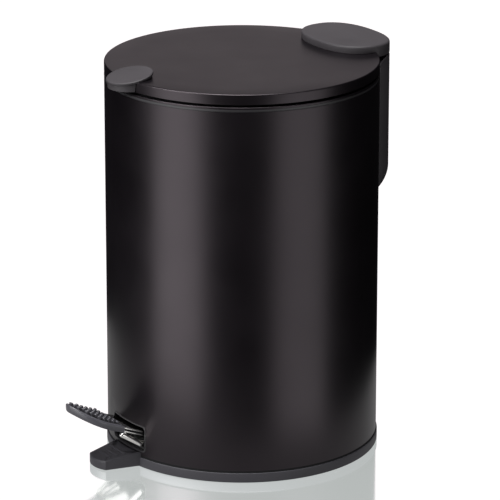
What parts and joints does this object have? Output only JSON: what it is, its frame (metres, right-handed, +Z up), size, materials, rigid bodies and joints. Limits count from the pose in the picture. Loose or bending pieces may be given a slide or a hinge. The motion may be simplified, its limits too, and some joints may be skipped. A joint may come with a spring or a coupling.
{
  "type": "pedal trash can",
  "caption": "Small round bathroom pedal bin: steel body, hinged lid opened by a foot pedal through a push rod and crank, lift-out inner bucket with bail handle.",
  "frame": {"origin": "where the body's axis meets the surface that the can stands on", "axes": "+Z up along the body's axis, -Y towards the pedal, +Y towards the lid hinge"},
  "size_m": [0.1714, 0.2259, 0.2515],
  "materials": {
    "black_steel": "matt black powder coat on sheet steel",
    "trim_plastic": "fine-grained dark grey moulded plastic",
    "base_plastic": "fine-grained dark grey moulded plastic",
    "tread_plastic": "dark grey moulded tread with anti-slip studs",
    "inner_plastic": "black moulded plastic",
    "bucket_plastic": "smooth black moulded polypropylene",
    "rubber": "soft black rubber",
    "zinc_steel": "zinc-plated pressed steel",
    "bright_steel": "bright chrome-plated steel"
  },
  "bodies": {
    "can": {"body_shell": "black_steel", "base": "base_plastic", "base_pads": "rubber", "rim_ring": "inner_plastic", "slot_grommet": "inner_plastic", "fulcrum_bracket": "zinc_steel", "fulcrum_rivets": "zinc_steel", "pedal_axle": "bright_steel", "lever_rest": "rubber", "rod_guides": "inner_plastic", "hinge_housing": "trim_plastic", "housing_screws": "zinc_steel", "hinge_bracket": "zinc_steel", "bracket_rivets": "zinc_steel", "hinge_pin": "bright_steel"},
    "lid": {"lid_shell": "black_steel", "lid_liner": "inner_plastic", "lid_seal": "rubber", "lid_bumpers": "rubber", "lid_grip": "trim_plastic", "grip_screw": "zinc_steel", "hinge_cap": "trim_plastic", "lid_arm": "zinc_steel", "arm_screws": "zinc_steel", "crank_pin": "bright_steel"},
    "push_rod": {"push_rod": "zinc_steel", "rod_head": "zinc_steel", "rod_foot": "zinc_steel"},
    "pedal": {"pedal_lever": "bright_steel", "pedal_tread": "tread_plastic", "tread_rivets": "zinc_steel", "lever_pin": "bright_steel"},
    "bucket": {"inner_bucket": "bucket_plastic"},
    "bail": {"bail_wire": "bright_steel", "bail_grip": "inner_plastic"}
  },
  "joints": [
    {"name": "lid_hinge", "type": "hinge", "parent": "can", "child": "lid", "pos_m": [0, 0.091, 0.229], "axis": [-1, 0, 0], "range_deg": [0, 75]},
    {"name": "rod_slide", "type": "slide", "parent": "can", "child": "push_rod", "axis": [0, 0, 1], "range_m": [0, 0.02436]},
    {"name": "pedal_pivot", "type": "hinge", "parent": "can", "child": "pedal", "pos_m": [0, -0.068, 0.012], "axis": [1, 0, 0], "range_deg": [0, 9.96]},
    {"name": "bucket_lift", "type": "slide", "parent": "can", "child": "bucket", "axis": [0, 0, 1], "range_m": [0, 0.005]},
    {"name": "bail_swing", "type": "hinge", "parent": "bucket", "child": "bail", "pos_m": [0, -0.0085, 0.2246], "axis": [-1, 0, 0], "range_deg": [0, 5.5]}
  ],
  "couplings": [
    {"joint": "rod_slide", "follows": "lid_hinge", "m_per_rad": 0.018602},
    {"joint": "pedal_pivot", "follows": "lid_hinge", "ratio": 0.1326}
  ]
}
